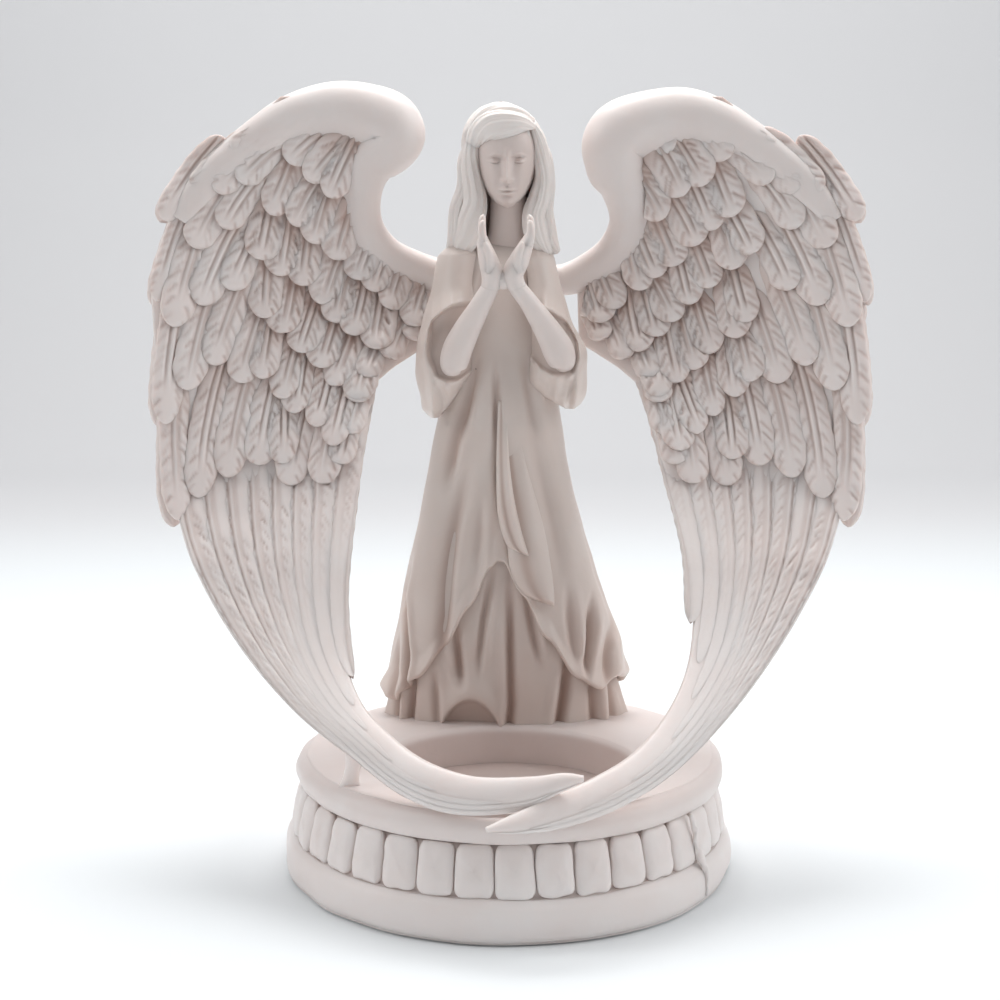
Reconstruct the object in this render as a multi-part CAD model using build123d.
"""Cast-resin angel tealight holder: a robed figure on a round plinth, its wings swept round a candle well.

Millimetres. Origin at the centre of the plinth's underside, +Z up. The figure faces -Y, its left hand at +X.
Every sub-part is written to parts/NODE.step. Names with left and right are the figure's own left and right.
"""
from build123d import *

import math
import os

# ---- driving dimensions ----
GAP = 0.05                 # glue line between castings, and clearance round a dowel
SEAM = 0.9                 # clear line between a wing's feather panel and its rounded front edge
FOOT_R = 36.0              # plinth foot
FOOT_H = 6.6
FOOT_ROUND = 2.6           # radius of the foot's upper edge
FOOT_ROUND_BELOW = 0.6
BLOCK_COUNT = 37           # raised blocks round the plinth
BLOCK_H = 6.6
BLOCK_DEPTH = 2.2
BLOCK_GAP = 0.8
FRONT_BLOCK_DEG = -88.7    # direction of the foremost block
DRUM_R = 33.0              # core that the blocks lean on, at its foot
DRUM_TOP_R = 31.4
RIM_UNDER_Z = 14.0
RIM_R = 34.4               # widest part of the rolled rim
DECK_Z = 19.0              # flat top of the plinth
WELL_R = 20.8              # takes a 38 to 40 mm tealight
WELL_Y = -10.1
WELL_DEPTH = 6.4
GOWN_Y = 21.5              # centre of the gown on the deck, behind the well
DOWEL_R = 1.0
WING_T = 2.2               # thickness of a wing's feather panel
FEATHER_T = 1.5            # thickness of one flight feather
FEATHERS = 6               # flight feathers on each wing

RIGHT, LEFT = -1, 1
SIDE_NAME = {RIGHT: "right", LEFT: "left"}
PARTS = {}


def keep(name, *solids):
    """Files one or more solids under a node name."""
    PARTS[name] = list(solids)
    return solids[0]


def solid_of(shape):
    """The largest solid of a boolean result."""
    return max(shape.solids(), key=lambda s: s.volume)


def oval_stack(sections):
    """Loft through horizontal ovals, each (z, centre x, centre y, half width, half depth)."""
    faces = [Plane((x, y, z)) * Ellipse(a, b) for z, x, y, a, b in sections]
    return loft(faces).solid()


def round_sections(stations):
    """Round sections square to a bending path, each station (x, y, z, radius)."""
    points = [Vector(*s[:3]) for s in stations]
    faces = []
    for i, (point, station) in enumerate(zip(points, stations)):
        before = points[max(i - 1, 0)]
        after = points[min(i + 1, len(points) - 1)]
        plane = Plane(point, x_dir=(0, 1, 0), z_dir=after - before)
        faces.append(plane * Circle(station[3]))
    return faces


def tube(stations):
    """Loft along a bending path, each station (x, y, z, radius)."""
    return loft(round_sections(stations)).solid()


def mirrored(side, point):
    """A point given for the left side, moved to the wanted side."""
    return (side * point[0], *point[1:])


# ---- plinth ----
def make_foot():
    """Rounded foot disc under the block course."""
    with BuildPart() as foot:
        Cylinder(FOOT_R, FOOT_H, align=(Align.CENTER, Align.CENTER, Align.MIN))
        fillet(foot.edges().group_by(Axis.Z)[-1], FOOT_ROUND)
        fillet(foot.edges().group_by(Axis.Z)[0], FOOT_ROUND_BELOW)
    return keep("plinth_foot", foot.part.solid())


def make_drum():
    """Tapered core inside the block course. Its top is the floor of the candle well."""
    height = DECK_Z - WELL_DEPTH - FOOT_H
    align = (Align.CENTER, Align.CENTER, Align.MIN)
    drum = Pos(0, 0, FOOT_H) * Cone(DRUM_R, DRUM_TOP_R, height, align=align)
    return keep("plinth_drum", drum.solid())


def make_blocks():
    """Raised blocks with rounded corners, leaning on the tapered drum."""
    lean = math.degrees(math.atan2(DRUM_R - DRUM_TOP_R, DECK_Z - WELL_DEPTH - FOOT_H))
    middle_z = FOOT_H + BLOCK_H / 2 + 0.1
    middle_r = DRUM_R - (middle_z - FOOT_H) * math.tan(math.radians(lean))
    width = 2 * math.pi * (middle_r + BLOCK_DEPTH) / BLOCK_COUNT - BLOCK_GAP
    block = Box(BLOCK_DEPTH, width, BLOCK_H)
    block = fillet(block.edges().filter_by(Axis.X), 1.1)
    block = fillet(block.faces().sort_by(Axis.X)[-1].edges(), 0.6)
    ring = []
    for i in range(BLOCK_COUNT):
        turn = FRONT_BLOCK_DEG + 360.0 * i / BLOCK_COUNT
        place = Rot(0, 0, turn) * Pos(middle_r, 0, middle_z) * Rot(0, -lean, 0)
        place = place * Pos(BLOCK_DEPTH / 2 + 0.02, 0, 0)
        ring.append((place * block).solid())
    return keep("plinth_blocks", *ring)


def make_rim():
    """Rolled rim and deck in one ring, open over the candle well."""
    z0 = DECK_Z - WELL_DEPTH
    collar_r = DRUM_TOP_R - 0.7
    with BuildSketch(Plane.XZ) as profile:
        with BuildLine():
            Polyline((0, z0), (collar_r, z0), (collar_r, RIM_UNDER_Z), (DRUM_R - 0.2, RIM_UNDER_Z))
            ThreePointArc((DRUM_R - 0.2, RIM_UNDER_Z), (RIM_R, 16.4), (DRUM_R - 0.8, DECK_Z - 0.5))
            Polyline((DRUM_R - 0.8, DECK_Z - 0.5), (DRUM_R - 2.8, DECK_Z), (0, DECK_Z), (0, z0))
        make_face()
    ring = revolve(profile.sketch, Axis.Z)
    well = Pos(0, WELL_Y, z0) * Cylinder(WELL_R, 2 * WELL_DEPTH, align=(Align.CENTER, Align.CENTER, Align.MIN))
    return keep("plinth_rim", solid_of(ring - well))


# ---- robed figure ----
UNDERSKIRT = [
    (DECK_Z, 0.2, GOWN_Y, 21.6, 10.0),
    (26, 0, 21.3, 19.6, 9.6),
    (36, -0.3, 21, 17.4, 9.2),
    (50, -0.9, 20.5, 14.0, 8.2),
    (64, -1.0, 20, 11.2, 7.2),
]
OVERSKIRT = [
    (21, 0.2, 21.4, 22.4, 10.2),
    (28, 0, 21.3, 21.0, 10.0),
    (38, -0.4, 21, 18.6, 10.0),
    (50, -0.9, 20.4, 15.6, 9.6),
    (60, -1.1, 19.8, 13.0, 8.6),
    (70, -1.1, 19.2, 11.0, 7.4),
]
BODICE = [
    (70, -1.1, 19.2, 11.0, 7.4),
    (78, -0.8, 18.8, 9.6, 6.8),
    (88, -0.4, 18.6, 9.0, 6.4),
    (96, -0.1, 19.2, 10.2, 5.8),
    (100, 0, 19.6, 9.4, 5.0),
    (102.4, 0, 19.8, 5.0, 3.6),
]


def make_skirts(dowel):
    """Underskirt, and the overskirt as a shell that opens in front from a point below the waist."""
    inner = oval_stack(UNDERSKIRT)
    outer = oval_stack(OVERSKIRT)
    keep("underskirt", solid_of(inner - dowel))
    front_opening = Polyline((-1.5, 47), (-17.5, 20), (13.5, 20), (-1.5, 47))
    opening = extrude(Plane.XZ * make_face(front_opening), amount=-GOWN_Y, dir=(0, 1, 0))
    return inner, keep("overskirt", solid_of(outer - inner - opening))


def make_bodice(neck, dowels):
    """Upper body of the gown, from the waist to the shoulders."""
    body = oval_stack(BODICE)
    return keep("bodice", solid_of(body - neck - dowels))


def make_neck():
    """Neck, let a little way into the shoulders."""
    return keep("neck", tube([(0.1, 18.6, 99.5, 3.0), (0.2, 17.2, 104, 2.6), (0.2, 15.8, 109, 2.6)]))


def make_head(neck):
    """Head with a plain oval face."""
    ball = Pos(0.2, 13.8, 115.6) * scale(Sphere(1), by=(5.3, 6.2, 7.6))
    return keep("head", solid_of(ball - neck))


def make_hair(head, neck, bodice):
    """Long hair over the head and shoulders, open at the face."""
    outer = oval_stack([
        (102.0, -0.2, 21.0, 9.4, 4.6),
        (107, -0.2, 19.6, 9.2, 6.2),
        (112, -0.2, 17.4, 8.2, 7.8),
        (118, -0.2, 15.8, 7.9, 8.4),
        (122.5, -0.4, 15.6, 6.2, 6.8),
        (125.4, -0.5, 15.8, 3.2, 3.6),
    ])
    face_window = Pos(0.4, 4.6, 111.5) * scale(Sphere(1), by=(5.1, 9.6, 8.6))
    chest_window = Pos(0.4, 3, 104.5) * Box(10.2, 24, 14)
    hair = outer - face_window - chest_window - head - neck - bodice
    return keep("hair", solid_of(hair))


def make_sleeve(side, body, forearm):
    """Wide hanging sleeve from the shoulder past the elbow."""
    stack = oval_stack([
        (73.4, side * 11.4, 13.8, 3.2, 3.0),
        (78, side * 11.6, 13.6, 4.0, 4.6),
        (86, side * 11.2, 13.8, 3.8, 5.4),
        (94, side * 9.8, 16.2, 3.0, 4.8),
        (100, side * 8.8, 18.8, 2.2, 3.4),
    ])
    return keep(f"sleeve_{SIDE_NAME[side]}", solid_of(stack - body - forearm))


def make_forearm(side):
    """Bare forearm from the elbow up to the wrist."""
    return tube([
        (side * 9.4, 8.6, 80.4, 1.9),
        (side * 7.6, 6.8, 85.0, 2.0),
        (side * 4.9, 4.4, 91.0, 1.7),
        (side * 3.1, 3.0, 95.4, 1.4),
    ])


def make_hand(side, forearm):
    """Open hand: a palm, four fingers close together and a thumb on the inner side."""
    palm = loft([
        Plane((side * 2.6, 2.5, 95.6), z_dir=(side * -0.1, -0.3, 1)) * Ellipse(1.25, 1.2),
        Plane((side * 2.2, 1.2, 99.2), z_dir=(side * 0.05, -0.2, 1)) * Ellipse(1.1, 2.2),
        Plane((side * 3.3, 0.4, 102.2), z_dir=(side * 0.3, -0.1, 1)) * Ellipse(0.9, 2.0),
        Plane((side * 3.9, 0.2, 106.2), z_dir=(side * 0.1, 0, 1)) * Ellipse(0.4, 0.9),
    ]).solid()
    thumb = tube([(side * 1.9, 0.4, 98.6, 0.8), (side * 1.8, -1.3, 101.4, 0.7), (side * 2.2, -1.9, 103.4, 0.4)])
    hand = palm + thumb - forearm
    centre_plane_cut = Pos(-side * 5 + side * 0.03, 0, 100) * Box(10, 30, 30)
    return keep(f"hand_{SIDE_NAME[side]}", solid_of(hand - centre_plane_cut))


# ---- wings ----
# Slices of the feather panel: height, inner edge (x, y), outer edge (x, y), and the middle's bow to the back.
PANEL = [
    (65.6, (25.2, 2.8), (56.4, 0.2), 3.6),
    (76, (23.0, 6.5), (57.6, 1.0), 4.4),
    (86, (13.6, 22.8), (58.2, 2.5), 3.0),
    (96, (13.6, 23.0), (57.6, 4.0), 2.4),
    (106, (20.0, 19.6), (56.0, 5.6), 1.6),
    (116, (20.0, 15.4), (52.0, 7.6), 1.2),
    (124, (20.0, 13.0), (48.0, 8.6), 1.0),
]
# Limits of the panel away from the bone's curve.
PANEL_INNER_X, PANEL_OUTER_X, PANEL_TOP_Z = 12.0, 60.0, 106.0
# Flight-feather fan from the panel's hem to the tip: outer edge, inner edge (x, y, z), and the bow of the middle.
FAN = {
    RIGHT: [
        ((-56.4, 0.2, 65.5), (-25.2, 2.8, 65.5), 3.6),
        ((-52.6, -4.0, 55.0), (-25.5, -2.5, 55.0), 3.0),
        ((-44.0, -10.0, 40.6), (-25.2, -11.0, 40.0), 2.0),
        ((-32.6, -18.4, 30.0), (-22.6, -20.5, 32.0), 1.0),
        ((-19.6, -29.4, 22.8), (-15.4, -29.2, 27.6), 0.3),
        ((-8.2, -35.6, 20.2), (-6.4, -35.0, 25.2), 0),
        ((1.0, -37.4, 21.6), (1.4, -37.2, 25.4), 0),
        ((10.6, -37.0, 24.6), (10.4, -37.0, 26.2), 0),
    ],
    LEFT: [
        ((56.4, 0.2, 65.5), (25.2, 2.8, 65.5), 3.6),
        ((53.0, -5.0, 55.0), (28.4, -4.4, 55.0), 3.0),
        ((45.2, -11.0, 42.4), (29.0, -12.0, 42.0), 2.0),
        ((35.6, -19.0, 30.4), (25.4, -21.5, 32.0), 1.0),
        ((24.6, -29.2, 22.2), (18.6, -30.4, 26.8), 0.3),
        ((13.6, -36.2, 18.4), (10.6, -36.6, 23.2), 0),
        ((5.0, -39.6, 17.4), (4.2, -39.8, 21.0), 0),
        ((-3.4, -41.0, 17.8), (-3.4, -41.0, 19.4), 0),
    ],
}
# Last station of the fan that each feather reaches, outermost first.
FEATHER_ENDS = [7, 6, 6, 5, 5, 4]
# Rounded front edge of a wing, one bending tube cut into three pieces: x, y, z, radius.
BONE = [
    (10.2, 24.9, 97.8, 2.4),
    (14.6, 24.2, 98.6, 2.6),
    (20.4, 21.8, 101.6, 2.8),
    (23.4, 19.2, 106.6, 2.9),
    (22.6, 16.8, 112.0, 3.4),
    (20.4, 15.2, 117.0, 5.4),
    (20.6, 14.2, 121.4, 6.7),
    (25.6, 13.8, 123.8, 5.2),
    (31.8, 13.2, 123.8, 4.4),
    (38.8, 12.0, 121.6, 3.6),
    (45.6, 9.8, 116.6, 3.0),
    (51.6, 7.4, 109.6, 2.2),
]
# First and last station of each piece.
BONE_PIECES = {"arm": (0, 4), "wrist": (4, 7), "leading_edge": (7, 11)}


def panel_section(side, height, inner, outer, bow):
    """One horizontal slice of a wing panel: a thin band whose middle bows to the back."""
    middle = ((inner[0] + outer[0]) / 2, (inner[1] + outer[1]) / 2 + bow)
    front = [Vector(side * x, y, height) for x, y in (inner, middle, outer)]
    back = [p + Vector(0, WING_T, 0) for p in front]
    edges = [
        ThreePointArc(*front),
        Line(front[2], back[2]),
        ThreePointArc(back[2], back[1], back[0]),
        Line(back[0], front[0]),
    ]
    return Face(Wire(edges))


def make_panel(side):
    """Feathered panel of one wing, from the leading edge to the top of the flight feathers."""
    panel = loft([panel_section(side, *row) for row in PANEL]).solid()
    under_bone = []
    for i in range(1, len(BONE)):
        before, here, after = BONE[i - 1], BONE[i], BONE[min(i + 1, len(BONE) - 1)]
        along = Vector(after[0] - before[0], after[2] - before[2]).normalized()
        reach = here[3] + SEAM
        under_bone.append((side * (here[0] + along.Y * reach), here[2] - along.X * reach))
    foot = PANEL[0][0] - 1
    rest = [
        under_bone[-1],
        (side * PANEL_OUTER_X, PANEL_TOP_Z),
        (side * PANEL_OUTER_X, foot),
        (side * PANEL_INNER_X, foot),
        under_bone[0],
    ]
    outline = Wire([*Spline(*under_bone).edges(), *Polyline(*rest).edges()])
    prism = extrude(Plane.XZ * Face(outline), amount=60, both=True)
    return keep(f"wing_{SIDE_NAME[side]}_coverts", solid_of(panel & prism))


def fan_corner(side, station, share, lift):
    """A point on the fan: a share of the way across it, moved off the front face by lift."""
    outer, inner, bow = FAN[side][station]
    across = Vector(*inner) - Vector(*outer)
    last = len(FAN[side]) - 1
    ahead = Vector(*FAN[side][min(station + 1, last)][0])
    behind = Vector(*FAN[side][max(station - 1, 0)][0])
    normal = across.cross(ahead - behind).normalized()
    if station == 0:
        normal = Vector(0, 1, 0)
    if normal.Y < 0:
        normal = normal * -1
    return Vector(*outer) + across * share + Vector(0, 4 * bow * share * (1 - share), 0) + normal * lift


def make_flight_feathers(side):
    """Long feathers side by side, each a separate strip that ends in a narrow tip."""
    strips = []
    for i in range(FEATHERS):
        low, high = i / FEATHERS, (i + 1) / FEATHERS
        sections = []
        last = FEATHER_ENDS[i]
        for station in range(last + 1):
            outer, inner, _ = FAN[side][station]
            width = (Vector(*inner) - Vector(*outer)).length
            gap = min(0.1 / width, 0.1 / FEATHERS)
            a, b = low + gap, high - gap
            if station == last:
                a, b = a + (b - a) * 0.3, b - (b - a) * 0.3
            corners = [
                fan_corner(side, station, a, 0),
                fan_corner(side, station, b, 0),
                fan_corner(side, station, b, FEATHER_T),
                fan_corner(side, station, a, FEATHER_T),
            ]
            sections.append(Wire.make_polygon(corners, close=True))
        strips.append(Solid.make_loft(sections, ruled=True))
    return keep(f"wing_{SIDE_NAME[side]}_flight_feathers", *strips)


def make_wing_bones(side):
    """Rounded front edge of a wing: the arm, the bulb of the wrist and the leading edge."""
    faces = round_sections([mirrored(side, s) for s in BONE])
    for piece, (first, last) in BONE_PIECES.items():
        keep(f"wing_{SIDE_NAME[side]}_{piece}", loft(faces[first:last + 1]).solid())


def make_wing_dowel(side):
    """Steel pin that holds a wing's root to the figure's back."""
    start = Vector(side * 3.4, 22.0, 96.8)
    end = Vector(side * 12.6, 24.7, 98.2)
    pin = Solid.make_cylinder(DOWEL_R, (end - start).length, Plane(start, z_dir=end - start))
    hole_start = start - (end - start).normalized() * GAP
    hole_length = (end - start).length + 2 * GAP
    hole = Solid.make_cylinder(DOWEL_R + GAP, hole_length, Plane(hole_start, z_dir=end - start))
    return keep(f"wing_{SIDE_NAME[side]}_dowel", pin), hole


def make_web():
    """Thin web of resin that ties the right wing's edge down to the rim."""
    sketch = Polyline((-26.2, DECK_Z), (-22.2, DECK_Z), (-22.6, 23.2), (-25.4, 24.6), (-26.2, DECK_Z))
    web = extrude(Plane.XZ * make_face(sketch), amount=0.7, dir=(0, -1, 0))
    return keep("wing_right_web", (Pos(0, -19.6, 0) * web).solid())


def main():
    make_foot()
    make_drum()
    make_blocks()
    rim = make_rim()

    align = (Align.CENTER, Align.CENTER, Align.MIN)
    pin_z, pin_h, pin_r = DECK_Z - 5, 12.0, 2 * DOWEL_R
    keep("gown_dowel", (Pos(0, GOWN_Y, pin_z) * Cylinder(pin_r, pin_h, align=align)).solid())
    gown_hole = Pos(0, GOWN_Y, pin_z - GAP) * Cylinder(pin_r + GAP, pin_h + 2 * GAP, align=align)
    keep("plinth_rim", solid_of(rim - gown_hole))
    make_skirts(gown_hole)

    wing_holes = {side: make_wing_dowel(side)[1] for side in (RIGHT, LEFT)}
    neck = make_neck()
    bodice = make_bodice(neck, wing_holes[RIGHT] + wing_holes[LEFT])
    head = make_head(neck)
    make_hair(head, neck, bodice)
    robe = oval_stack(BODICE) + oval_stack(OVERSKIRT)

    for side in (RIGHT, LEFT):
        name = SIDE_NAME[side]
        forearm = make_forearm(side)
        make_hand(side, forearm)
        make_sleeve(side, robe, forearm)
        keep(f"forearm_{name}", solid_of(forearm - oval_stack(BODICE)))
        make_wing_bones(side)
        arm = PARTS[f"wing_{name}_arm"][0]
        keep(f"wing_{name}_arm", solid_of(arm - wing_holes[side]))
        make_panel(side)
        make_flight_feathers(side)
    make_web()

    os.makedirs("parts", exist_ok=True)
    for name, solids in PARTS.items():
        export_step(solids[0] if len(solids) == 1 else Compound(children=solids), f"parts/{name}.step")


main()
